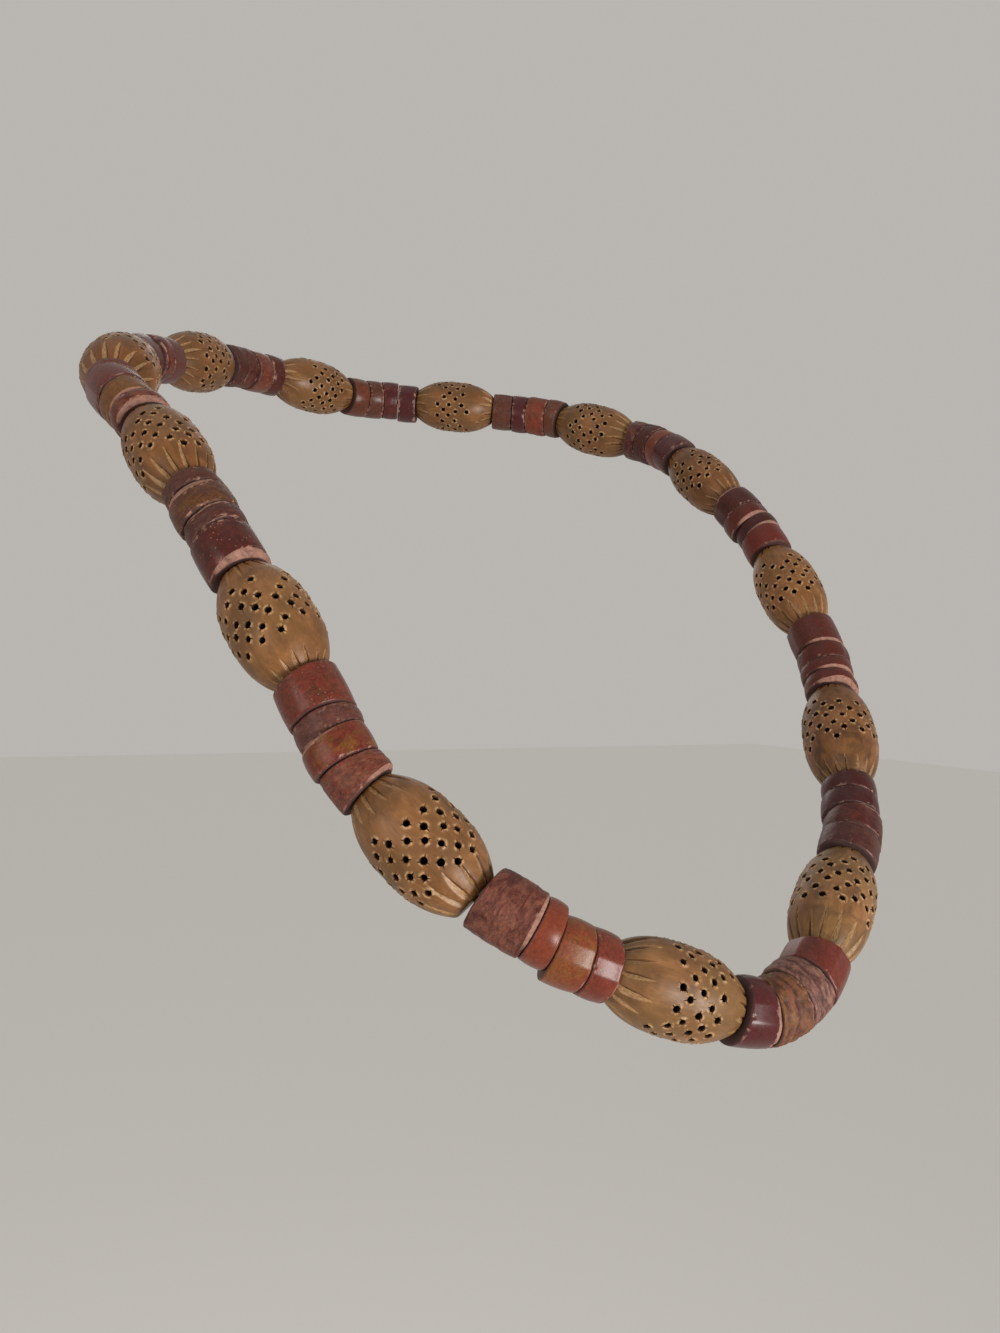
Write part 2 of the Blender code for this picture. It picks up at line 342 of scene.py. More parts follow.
beadLooks = [
    # tint over the wood, smudges, turn about its own length in degrees, shift of the drilled belt in mm,
    # rows of holes, and the flutes' lengths at its two ends in mm
    # the tints are partly each bead's own tone and partly painted shade, darker on the beads towards the
    # sides and back
    ("#FFFDFA", 0.15, 10, 1.6, 7, 7.5, 3.6),
    ("#FFFCF6", 0.60, 40, 1.9, 7, 8.0, 2.6),
    ("#E8D9C5", 0.85, 95, 0.6, 7, 5.2, 3.0),
    ("#F8EBD0", 0.30, 150, -0.4, 7, 7.2, 4.0),
    ("#DECDB2", 0.30, 200, 0.5, 7, 6.0, 5.0),
    ("#ECE1D2", 0.20, 250, 0.0, 7, 6.5, 5.5),
    ("#E8DCCB", 0.30, 300, 0.3, 6, 5.5, 6.5),
    ("#EDE3D4", 0.25, 340, -0.5, 7, 6.0, 5.5),
    ("#E2D5C2", 0.35, 25, 0.2, 7, 5.5, 6.0),
    ("#E2C99E", 0.20, 70, 0.0, 7, 5.0, 8.0),
    ("#E9D6B6", 0.25, 120, 0.4, 7, 3.2, 6.4),
    ("#F8EEDC", 0.25, 170, -0.3, 7, 5.2, 3.4),
    ("#F8F0E2", 0.20, 215, 1.1, 7, 6.4, 7.4),
]

# a bead that is really a little shorter than its solid at the end towards the next one
shortEndsMm = {13: 1.1}


def barrelRadius(diameter, length, height):
    end = beadValues["endDiameterMm"] * mm / 2
    return diameter / 2 - (diameter / 2 - end) * abs(2 * height / length) ** beadValues["bellyPower"]


def ringFaces(rows, around, first=0):
    # four-sided faces over rows of points that close both ways, like the skin of a ring
    faces = []
    for row in range(rows):
        here, above = first + row * around, first + (row + 1) % rows * around
        for index in range(around):
            after = (index + 1) % around
            faces.append((here + index, here + after, above + after, above + index))
    return faces


def latheMesh(name, profile, around):
    # a closed profile of (radius, height) turned full circle, so that the bore is part of the skin
    turns = np.linspace(0, 2 * math.pi, around, endpoint=False)
    points = [(radius * math.cos(turn), radius * math.sin(turn), height)
              for radius, height in profile for turn in turns]
    mesh = bpy.data.meshes.new(name)
    mesh.from_pydata(points, [], ringFaces(len(profile), around))
    return mesh


def turnedBlank(diameter, length):
    half = length / 2
    bore = beadValues["boreDiameterMm"] * mm / 2
    rim = beadValues["rimMm"] * mm
    end = barrelRadius(diameter, length, half)
    heights = np.linspace(-half + rim, half - rim, beadValues["rowsAlong"])
    side = [(barrelRadius(diameter, length, height), height) for height in heights]
    cap = [(end - 0.35 * rim, half - 0.18 * rim), (end - rim, half), ((end + bore) / 2, half), (bore, half)]
    top = cap
    bottom = [(radius, -height) for radius, height in reversed(cap)]
    return latheMesh("turnedBlank", bottom + side + top, beadValues["pointsAround"])


def makeDrills():
    # three drills, each a round bit with thin torn nicks that open towards the bead's skin
    group = bpy.data.collections.new("drillBits")
    around = 28
    cuts = {
        "first": {0: 1.0, 11: 0.8, 19: 0.5},
        "second": {2: 0.9, 9: 0.4, 16: 1.0},
        "third": {4: 1.0, 18: 0.7},
    }
    radius = beadValues["holeWidthMm"] * mm / 2
    under, over = 0.28 * mm, 0.25 * mm
    # height, share of the bit's width, how far the nicks have opened, how dark the wood is there
    levels = ((-beadValues["holeDepthMm"] * mm, 0.85, 0.0, 1.0), (-under, 1.0, 0.0, 1.0),
              (over, 1.06, (under + over) / under, 0.0))
    for name, nicks in cuts.items():
        points, dark = [], []
        for height, share, spread, darkness in levels:
            for index in range(around):
                turn = 2 * math.pi * index / around
                reach = radius * share + nicks.get(index, 0.0) * spread * beadValues["nickLengthMm"] * mm
                points.append((reach * math.cos(turn), reach * math.sin(turn), height))
                dark.append(darkness)
        # two caps, and the sides without the row that would close them into a ring
        faces = [tuple(reversed(range(around))), tuple(range(2 * around, 3 * around))]
        faces += ringFaces(3, around)[:2 * around]
        mesh = bpy.data.meshes.new(name + "Drill")
        mesh.from_pydata(points, [], faces)
        mesh.attributes.new("drilled", "FLOAT", "POINT").data.foreach_set("value", dark)
        group.objects.link(bpy.data.objects.new(name + "Drill", mesh))
    return group


def addInputs(tree, wanted):
    # the named inputs that the modifier shows, and one mesh out; gives the adding function and the inputs
    tree.interface.new_socket("Geometry", in_out="INPUT", socket_type="NodeSocketGeometry")
    for name, kind in wanted:
        tree.interface.new_socket(name, in_out="INPUT", socket_type="NodeSocket" + kind)
    tree.interface.new_socket("Geometry", in_out="OUTPUT", socket_type="NodeSocketGeometry")
    tree.is_modifier = True
    add = partial(addNode, tree)
    return add, add("NodeGroupInput").outputs


def setInputs(modifier, values):
    # a modifier's inputs go by the socket's identifier
    for item in modifier.node_group.interface.items_tree:
        if item.in_out == "INPUT" and item.name in values:
            modifier[item.identifier] = values[item.name]


def cutFlutes(add, given, seeds, position, half):
    # knife cuts with one steep wall and one flat wall, widest a little way in from the end: gives the
    # distance from the axis, the depth of the cut, and the cut as a mark that is negative on a steep wall
    across, aside, along = add("ShaderNodeSeparateXYZ", (position,)).outputs
    wander = add("ShaderNodeTexNoise", {
        "Vector": position, "Scale": 1 / (beadValues["wanderMm"] * mm), "Detail": 1.0})
    drift = add("ShaderNodeMath", (wander, 0.5), operation="SUBTRACT")
    upper = add("ShaderNodeMath", (along, 0.0), operation="GREATER_THAN")
    turn = add("ShaderNodeMath", (aside, across), operation="ARCTAN2")
    lap = add("ShaderNodeMath", (turn, 2 * math.pi), operation="DIVIDE")
    share = 0.0
    for value, times in ((drift, 0.30), (upper, 0.37), (lap, given["Flute Count"])):
        share = add("ShaderNodeMath", (value, times, share), operation="MULTIPLY_ADD")
    number = add("ShaderNodeMath", (share,), operation="FLOOR")
    wrapped = add("ShaderNodeMath", (number, given["Flute Count"]), operation="FLOORED_MODULO")
    which = add("ShaderNodeMath", (upper, 100.0, wrapped), operation="MULTIPLY_ADD")
    lengths, offset, widths = [
        add("FunctionNodeRandomValue", {2: low, 3: high, "ID": which, "Seed": seed}).outputs[1]
        for low, high, seed in ((0.70, 1.10, seeds[0]), (0.42, 0.58, seeds[1]), (0.32, 0.52, seeds[2]))]
    phase = add("ShaderNodeMath", (share, number), operation="SUBTRACT")
    phase = add("ShaderNodeMath", (phase, offset), operation="SUBTRACT")
    steep = add("ShaderNodeMath", (phase, 0.0), operation="LESS_THAN")
    steep = add("ShaderNodeMath", (steep, beadValues["steepWall"], 1.0), operation="MULTIPLY_ADD")
    away = add("ShaderNodeMath", (phase,), operation="ABSOLUTE")
    away = add("ShaderNodeMath", (away, steep), operation="MULTIPLY")
    width = add("ShaderNodeMath", (given["Flute Width"], widths), operation="MULTIPLY")
    wall = add("ShaderNodeMath", (away, width), operation="DIVIDE")
    length = add("ShaderNodeMix", {0: upper, 2: given["Start Flute Length"], 3: given["End Flute Length"]})
    length = add("ShaderNodeMath", (length, lengths), operation="MULTIPLY")
    height = add("ShaderNodeMath", (along,), operation="ABSOLUTE")
    fromEnd = add("ShaderNodeMath", (half, height), operation="SUBTRACT")
    run = add("ShaderNodeMath", (fromEnd, length), operation="DIVIDE")
    rise = add("ShaderNodeMath", (run, 2.5, 0.45), operation="MULTIPLY_ADD", use_clamp=True)
    fade = add("ShaderNodeMath", (1.0, run), operation="SUBTRACT", use_clamp=True)
    fade = add("ShaderNodeMath", (fade, 0.7), operation="POWER")
    fade = add("ShaderNodeMath", (fade, rise), operation="MULTIPLY")
    cut = add("ShaderNodeMath", (fade, wall), operation="SUBTRACT", use_clamp=True)
    square = add("ShaderNodeMath", (aside, aside), operation="MULTIPLY")
    square = add("ShaderNodeMath", (across, across, square), operation="MULTIPLY_ADD")
    radius = add("ShaderNodeMath", (square,), operation="SQRT")
    boreEdge = add("ShaderNodeMath", (given["Bore Diameter"], 0.5), operation="MULTIPLY")
    endEdge = add("ShaderNodeMath", (given["End Diameter"], 0.46), operation="MULTIPLY")
    onFace = add("ShaderNodeMapRange", (radius, boreEdge, endEdge, 0.0, 1.0))
    # 1 on the flat wall and -1 on the steep one
    slant = 2 / beadValues["steepWall"]
    side = add("ShaderNodeMath", (steep, -slant, 1 + slant), operation="MULTIPLY_ADD")
    sidedCut = add("ShaderNodeMath", (cut, side), operation="MULTIPLY")
    cutDepth = add("ShaderNodeMath", (cut, given["Flute Depth"]), operation="MULTIPLY")
    cutDepth = add("ShaderNodeMath", (cutDepth, onFace), operation="MULTIPLY")
    return radius, cutDepth, sidedCut


def drilledBelt(add, given, seeds, half):
    # staggered rows of points on the barrel, a little out of line, some left out: gives the points, each
    # with its way out of the bead, and the spin and the size of each bit
    count = add("ShaderNodeMath", (given["Hole Columns"], given["Hole Rows"]), operation="MULTIPLY")
    points = add("GeometryNodePoints", {"Count": count, "Radius": 0.5 * mm})
    index = add("GeometryNodeInputIndex")
    slip, climb, luck, angle, size = [
        add("FunctionNodeRandomValue", {2: low, 3: high, "ID": index, "Seed": seed}).outputs[1]
        for low, high, seed in ((-0.09, 0.09, seeds[3]), (-0.16, 0.16, seeds[4]), (0.0, 1.0, seeds[5]),
                                (0.0, 2 * math.pi, seeds[6]), (0.88, 1.10, seeds[7]))]
    row = add("ShaderNodeMath", (index, given["Hole Columns"]), operation="DIVIDE")
    row = add("ShaderNodeMath", (row,), operation="FLOOR")
    column = add("ShaderNodeMath", (index, given["Hole Columns"]), operation="FLOORED_MODULO")
    odd = add("ShaderNodeMath", (row, 2.0), operation="FLOORED_MODULO")
    column = add("ShaderNodeMath", (odd, 0.5, column), operation="MULTIPLY_ADD")
    column = add("ShaderNodeMath", (column, slip), operation="ADD")
    holeTurn = add("ShaderNodeMath", (column, given["Hole Columns"]), operation="DIVIDE")
    holeTurn = add("ShaderNodeMath", (holeTurn, 2 * math.pi), operation="MULTIPLY")
    lastRow = add("ShaderNodeMath", (given["Hole Rows"], 1.0), operation="SUBTRACT")
    level = add("ShaderNodeMath", (lastRow, -0.5, row), operation="MULTIPLY_ADD")
    level = add("ShaderNodeMath", (level, climb), operation="ADD")
    level = add("ShaderNodeMath", (level, given["Row Spacing"], given["Belt Shift"]),
                operation="MULTIPLY_ADD")
    reach = add("ShaderNodeMath", (level,), operation="ABSOLUTE")
    reach = add("ShaderNodeMath", (reach, half), operation="DIVIDE")
    belly = add("ShaderNodeMath", (given["Diameter"], given["End Diameter"]), operation="SUBTRACT")
    belly = add("ShaderNodeMath", (belly, -0.5), operation="MULTIPLY")
    curve = add("ShaderNodeMath", (reach, given["Belly Power"]), operation="POWER")
    widest = add("ShaderNodeMath", (given["Diameter"], 0.5), operation="MULTIPLY")
    skin = add("ShaderNodeMath", (curve, belly, widest), operation="MULTIPLY_ADD")
    slope = add("ShaderNodeMath", (curve, level), operation="DIVIDE")
    for factor in (given["Belly Power"], belly, -1.0):
        slope = add("ShaderNodeMath", (slope, factor), operation="MULTIPLY")
    cosine, sine = [add("ShaderNodeMath", (holeTurn,), operation=name) for name in ("COSINE", "SINE")]
    skinX, skinY = [add("ShaderNodeMath", (skin, ratio), operation="MULTIPLY") for ratio in (cosine, sine)]
    spot = add("ShaderNodeCombineXYZ", (skinX, skinY, level))
    outward = add("ShaderNodeCombineXYZ", (cosine, sine, slope))
    firstRow = add("ShaderNodeMath", (row, 0.5), operation="LESS_THAN")
    finalRow = add("ShaderNodeMath", (row, lastRow), operation="COMPARE")
    atEnd = add("ShaderNodeMath", (firstRow, finalRow), operation="MAXIMUM")
    leftOut = add("ShaderNodeMath", (atEnd, given["Missing At Ends"], given["Missing Holes"]),
                  operation="MULTIPLY_ADD")
    gone = add("ShaderNodeMath", (luck, leftOut), operation="LESS_THAN")
    for name, value, kind in (("outward", outward, "FLOAT_VECTOR"), ("gone", gone, "FLOAT")):
        points = add("GeometryNodeStoreNamedAttribute", {
            "Geometry": points, "Name": name, "Value": value}, data_type=kind)
    points = add("GeometryNodeSetPosition", {"Geometry": points, "Position": spot})
    isGone = add("GeometryNodeInputNamedAttribute", {"Name": "gone"})
    points = add("GeometryNodeDeleteGeometry", {"Geometry": points, "Selection": isGone})
    return points, angle, size


def carvingTree():
    tree = bpy.data.node_groups.new("carveAndDrillBead", "GeometryNodeTree")
    add, given = addInputs(tree, [
        ("Diameter", "Float"), ("Length", "Float"), ("End Diameter", "Float"), ("Bore Diameter", "Float"),
        ("Belly Power", "Float"), ("Flute Count", "Int"), ("Start Flute Length", "Float"),
        ("End Flute Length", "Float"), ("Flute Depth", "Float"), ("Flute Width", "Float"),
        ("Hole Columns", "Int"), ("Hole Rows", "Int"), ("Row Spacing", "Float"), ("Belt Shift", "Float"),
        ("Hole Width", "Float"), ("Burr Height", "Float"), ("Missing Holes", "Float"),
        ("Missing At Ends", "Float"), ("Seed", "Int"), ("Drills", "Collection"), ("Material", "Material")])
    seeds = [add("ShaderNodeMath", (given["Seed"], step), operation="ADD") for step in range(1, 9)]
    half = add("ShaderNodeMath", (given["Length"], 0.5), operation="MULTIPLY")
    position = add("GeometryNodeInputPosition")

    radius, cutDepth, sidedCut = cutFlutes(add, given, seeds, position, half)
    points, angle, size = drilledBelt(add, given, seeds, half)

    # the bit raises a torn burr round each hole
    nearest = add("GeometryNodeProximity", {0: points, "Sample Position": position},
                  target_element="POINTS").outputs["Distance"]
    fromRim = add("ShaderNodeMath", (nearest, given["Hole Width"]), operation="DIVIDE")
    fromRim = add("ShaderNodeMath", (fromRim, 5.0, -3.3), operation="MULTIPLY_ADD")
    fromRim = add("ShaderNodeMath", (fromRim, fromRim), operation="MULTIPLY")
    fromRim = add("ShaderNodeMath", (fromRim, -1.0), operation="MULTIPLY")
    burr = add("ShaderNodeMath", (fromRim,), operation="EXPONENT")
    tear = add("ShaderNodeTexNoise", {
        "Vector": position, "Scale": 1 / (beadValues["tearMm"] * mm), "Detail": 1.0})
    torn = add("ShaderNodeMapRange", (tear, 0.45, 0.60, 0.0, 1.0))
    burr = add("ShaderNodeMath", (burr, torn), operation="MULTIPLY")
    lift = add("ShaderNodeMath", (burr, given["Burr Height"]), operation="MULTIPLY")
    lift = add("ShaderNodeMath", (lift, cutDepth), operation="SUBTRACT")
    swell = add("ShaderNodeMath", (lift, radius), operation="DIVIDE")
    swell = add("ShaderNodeMath", (swell, 1.0), operation="ADD")
    swell = add("ShaderNodeCombineXYZ", (swell, swell, 1.0))
    moved = add("ShaderNodeVectorMath", (position, swell), operation="MULTIPLY")
    marked = given["Geometry"]
    for name, value in (("fluteCut", sidedCut), ("nearHole", burr), ("drilled", 0.0)):
        marked = add("GeometryNodeStoreNamedAttribute", {"Geometry": marked, "Name": name, "Value": value})
    carved = add("GeometryNodeSetPosition", {"Geometry": marked, "Position": moved})

    # the bits themselves, each stood on its point and spun
    wayOut = add("GeometryNodeInputNamedAttribute", {"Name": "outward"}, data_type="FLOAT_VECTOR")
    stood = add("FunctionNodeAlignRotationToVector", {"Vector": wayOut}, axis="Z")
    spin = add("FunctionNodeAxisAngleToRotation", {"Axis": (0, 0, 1), "Angle": angle})
    turned = add("FunctionNodeRotateRotation", {"Rotation": stood, "Rotate By": spin}, rotation_space="LOCAL")
    size = add("ShaderNodeCombineXYZ", (size, size, 1.0))
    drills = add("GeometryNodeCollectionInfo", {
        "Collection": given["Drills"], "Separate Children": True, "Reset Children": True})
    bits = add("GeometryNodeInstanceOnPoints", {
        "Points": points, "Instance": drills, "Pick Instance": True, "Rotation": turned, "Scale": size})
    bits = add("GeometryNodeRealizeInstances", {"Geometry": bits})
    drilled = add("GeometryNodeMeshBoolean", {"Mesh 1": carved, "Mesh 2": bits},
                  operation="DIFFERENCE", solver="MANIFOLD")
    # each bead is cut from its own part of the plank
    shift = add("ShaderNodeVectorMath", {0: (0.043, 0.0, 0.031), "Scale": given["Seed"]}, operation="SCALE")
    grain = add("ShaderNodeVectorMath", (position, shift), operation="ADD")
    placed = add("GeometryNodeStoreNamedAttribute", {
        "Geometry": drilled, "Name": "grainPlace", "Value": grain}, data_type="FLOAT_VECTOR")
    real = add("GeometryNodeRealizeInstances", {"Geometry": placed})
    finished = add("GeometryNodeSetMaterial", {"Geometry": real, "Material": given["Material"]})
    add("NodeGroupOutput", (finished,))
    return tree


def plainMesh(made, tree, values, name):
    # runs the tree on the object and gives back the result as a mesh of its own
    modifier = made.modifiers.new("tree", "NODES")
    modifier.node_group = tree
    setInputs(modifier, values)
    bpy.context.view_layer.update()
    graph = bpy.context.evaluated_depsgraph_get()
    mesh = bpy.data.meshes.new_from_object(made.evaluated_get(graph))
    mesh.name = name
    made.modifiers.remove(modifier)
    old = made.data
    made.data = mesh
    bpy.data.meshes.remove(old)
    return mesh


def fillAttribute(mesh, name, kind, value):
    made = mesh.attributes.new(name, kind, "POINT")
    field = "color" if kind == "FLOAT_COLOR" else "value"
    flat = np.tile(np.atleast_1d(np.array(value, dtype=np.float32)), len(mesh.vertices))
    made.data.foreach_set(field, flat)


def makeBeads():
    tree = carvingTree()
    drills = makeDrills()
    for index, (start, end, diameter) in enumerate(beads):
        tint, smudge, turn, beltShift, rows, startFlutes, endFlutes = beadLooks[index]
        end = end - (end - start).normalized() * shortEndsMm.get(index + 1, 0.0) * mm
        name = f"wood_bead_{index + 1:02}"
        length = (end - start).length
        diameter -= beadValues["burrRoomMm"] * mm
        made = addObject(name.replace("wood_bead", "carvedBead"), turnedBlank(diameter, length))
        mesh = plainMesh(made, tree, {
            "Diameter": diameter, "Length": length, "End Diameter": beadValues["endDiameterMm"] * mm,
            "Bore Diameter": beadValues["boreDiameterMm"] * mm, "Belly Power": beadValues["bellyPower"],
            "Flute Count": beadValues["fluteCount"] + (index % 3) - 1, "Start Flute Length": startFlutes * mm,
            "End Flute Length": endFlutes * mm,
            "Flute Depth": beadValues["fluteDepthMm"] * mm, "Flute Width": beadValues["fluteWidth"],
            "Hole Columns": beadValues["holeColumns"], "Hole Rows": rows,
            "Row Spacing": beadValues["rowSpacingMm"] * mm, "Belt Shift": beltShift * mm,
            "Hole Width": beadValues["holeWidthMm"] * mm, "Burr Height": beadValues["burrHeightMm"] * mm,
            "Missing Holes": beadValues["missingHoles"], "Missing At Ends": beadValues["missingAtEnds"],
            "Seed": 7 * index + 3, "Drills": drills, "Material": woodMaterial}, made.name)
        fillAttribute(mesh, "woodTone", "FLOAT_COLOR", colorFromHex(tint))
        fillAttribute(mesh, "smudged", "FLOAT", smudge)
        place = placeAlong((start + end) / 2, (end - start).normalized())
        mesh.transform(place @ Matrix.Rotation(math.radians(turn), 4, "Z"))
        mesh.shade_smooth()
        mesh.set_sharp_from_angle(angle=math.radians(beadValues["creaseDegrees"]))
        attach(made, "root")
        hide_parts(name)
        print(f"  {made.name}: {sum(len(face.vertices) - 2 for face in mesh.polygons)} triangles")
    for bit in list(drills.objects):
        bpy.data.objects.remove(bit)
    bpy.data.collections.remove(drills)


makeBeads()
print("stage: wooden beads carved and drilled")


# Stone: red jasper-like stone, sawn into discs, drilled, ground on a wheel and rubbed smooth by wear.
# The eye gets brick to purple reds with brown and ochre clouds, pale flecks, a wet-looking polish on the best
# discs and a dull rubbed skin on the others, and a pale rim wherever the edge is chipped.

stoneValues = {
    "chip": "#AB8070",
    "fleck": "#A98572",
    "crack": "#2A0F0C",
    # painted shade: sawn is the dark grey-brown laid on the disc faces that lie between the discs
    "sawn": "#463634",
    "cloudMm": 3.6,
    "fleckMm": 0.55,
    "grainMm": 0.35,
    "blotchMm": 1.4,
    "veinMm": 2.6,
    "rimPatchMm": 5.0,
    "polished": 0.22,
    "gloss": 0.30,
    "rubbed": 0.58,
}


def makeStone():
    material, add = newMaterial("groundRedStone")
    place, base, cloud, finish, chipped, dented, sawn, rim, wearing, ground = [
        add("ShaderNodeAttribute", attribute_name=name).outputs[output]
        for name, output in (("stonePlace", "Vector"), ("baseTone", "Color"), ("cloudTone", "Color"),
                             ("finish", "Vector"), ("chipped", "Fac"), ("dented", "Fac"), ("sawnFace", "Fac"),
                             ("rim", "Fac"), ("chips", "Fac"), ("paleEdge", "Fac"))]
    clouds, dull, flecks = add("ShaderNodeSeparateXYZ", (finish,)).outputs
    broad, grain, blotch, vein, rimNoise = [
        add("ShaderNodeTexNoise", {"Vector": place, "Scale": 1 / (stoneValues[size] * mm), "Detail": detail,
                                   "Roughness": roughness, "Distortion": distortion})
        for size, detail, roughness, distortion in (
            ("cloudMm", 5.0, 0.62, 0.9), ("grainMm", 3.0, 0.7, 0.0), ("blotchMm", 4.0, 0.7, 1.4),
            ("veinMm", 3.0, 0.5, 1.6), ("rimPatchMm", 3.0, 0.5, 0.0))]
    edge = add("ShaderNodeMapRange", (broad, 0.42, 0.60, 0.0, 1.0))
    cloudMask = add("ShaderNodeMath", (edge, clouds), operation="MULTIPLY")
    mixed = add("ShaderNodeMix", {0: cloudMask, 6: base, 7: cloud}, data_type="RGBA")

    # darker and lighter crystals under half a millimetre, and blotches where the stone is cloudy
    crystals = add("ShaderNodeMapRange", (grain, 0.3, 0.7, 0.82, 1.16))
    blotches = add("ShaderNodeMath", (blotch, 0.5), operation="SUBTRACT")
    blotches = add("ShaderNodeMath", (blotches, clouds), operation="MULTIPLY")
    shade = add("ShaderNodeMath", (blotches, 3.0, crystals), operation="MULTIPLY_ADD")
    color = add("ShaderNodeVectorMath", {0: mixed.outputs[2], "Scale": shade}, operation="SCALE")

    # thin dark veins where two clouds meet
    veinMask = add("ShaderNodeMath", (vein, 0.5), operation="SUBTRACT")
    veinMask = add("ShaderNodeMath", (veinMask,), operation="ABSOLUTE")
    veinMask = add("ShaderNodeMapRange", (veinMask, 0.0, 0.022, 0.55, 0.0))
    veinMask = add("ShaderNodeMath", (veinMask, clouds), operation="MULTIPLY")

    # darker in the dents, towards the crack colour
    dentDarkMask = add("ShaderNodeMapRange", (dented, 0.10, 0.85, 0.0, 0.70))

    # pale flecks, in one cell out of seven
    spots = add("ShaderNodeTexVoronoi", {"Vector": place, "Scale": 1 / (stoneValues["fleckMm"] * mm)})
    spotSize = add("ShaderNodeMapRange", (spots.outputs["Distance"], 0.12, 0.34, 1.0, 0.0))
    spotPick = add("ShaderNodeSeparateColor", (spots.outputs["Color"],))
    spotMask = add("ShaderNodeMath", (spotPick, 0.86), operation="GREATER_THAN")
    spotMask = add("ShaderNodeMath", (spotSize, spotMask), operation="MULTIPLY")
    spotMask = add("ShaderNodeMath", (spotMask, flecks), operation="MULTIPLY")
    # painted shade: the disc faces between the discs are darkened
    faceShadeMask = add("ShaderNodeMath", (sawn, 0.75), operation="MULTIPLY")

    # paler stone shows where an edge is chipped or rubbed, and on the ground chamfers
    rimStart = add("ShaderNodeMath", (wearing, -0.24, 0.68), operation="MULTIPLY_ADD")
    rimEnd = add("ShaderNodeMath", (rimStart, 0.12), operation="ADD")
    rimPatch = add("ShaderNodeMapRange", (rimNoise, rimStart, rimEnd, 0.0, 0.6))
    rimLine = add("ShaderNodeMapRange", (rim, 0.90, 1.0, 0.0, 1.0))
    rubbedRim = add("ShaderNodeMath", (rimPatch, rimLine), operation="MULTIPLY")
    chips = add("ShaderNodeMapRange", (chipped, 0.15, 0.6, 0.0, 0.85))
    chamfer = add("ShaderNodeMapRange", (ground, 0.35, 0.75, 0.0, 0.85))
    chamferTone = add("ShaderNodeMapRange", (blotch, 0.30, 0.62, 0.35, 1.0))
    chamferMask = add("ShaderNodeMath", (chamfer, chamferTone), operation="MULTIPLY")
    paleMask = add("ShaderNodeMath", (chips, rubbedRim), operation="MAXIMUM")
    paleMask = add("ShaderNodeMath", (paleMask, chamferMask), operation="MAXIMUM")
    for mask, name in ((veinMask, "crack"), (dentDarkMask, "crack"), (spotMask, "fleck"), (faceShadeMask, "sawn"),
                       (paleMask, "chip")):
        laid = add("ShaderNodeMix", {0: mask, 6: color, 7: colorFromHex(stoneValues[name])}, data_type="RGBA")
        color = laid.outputs[2]

    roughness = add("ShaderNodeMapRange", (dull, 0.0, 1.0, stoneValues["polished"], stoneValues["rubbed"]))
    for mask, more in ((broad, 0.10), (sawn, 0.35), (chamfer, 0.30), (chips, 0.3)):
        roughness = add("ShaderNodeMath", (mask, more, roughness), operation="MULTIPLY_ADD", use_clamp=True)
    bumpSize = add("ShaderNodeMapRange", (dull, 0.0, 1.0, 0.06, 0.5))
    bump = add("ShaderNodeBump", {"Strength": bumpSize, "Distance": 0.12 * mm, "Height": grain})
    shader = add("ShaderNodeBsdfPrincipled", {
        "Base Color": color, "Roughness": roughness, "Normal": bump, "IOR": 1.54,
        "Specular IOR Level": stoneValues["gloss"]})
    add("ShaderNodeOutputMaterial", (shader,))
    return material


stoneMaterial = makeStone()


# Stone discs: four to a stack, each ground to its own outline, then chipped and dented by one tree

discValues = {
    "diameterMm": 12.95,
    "boreMm": 3.4,
    "crownMm": 0.16,          # how far the side bulges between its edges
    "threadRoomMm": 0.8,      # from the middle of the thread to the wall of a bore
    "jointMm": 0.16,
    "bevelMm": 0.35,
    "pointsAround": 128,
    "lump": 0.016,
    "chipSizeMm": 1.5,
    "chipDepthMm": 0.42,
    "dentSizeMm": 3.2,
    "dentDepthMm": 0.38,
    "creaseDegrees": 50,
}

stoneTones = {
    "brick": "#682A1D",
    "orange": "#773620",
    "mottled": "#754434",
    "mauve": "#5E3733",
    "purple": "#4A191B",
    "oxblood": "#4C1B16",
    "ochre": "#76531F",
    "golden": "#8E6A2A",
    "brown": "#5A3220",
    "pink": "#9E7362",
    "bright": "#772C1A",
}

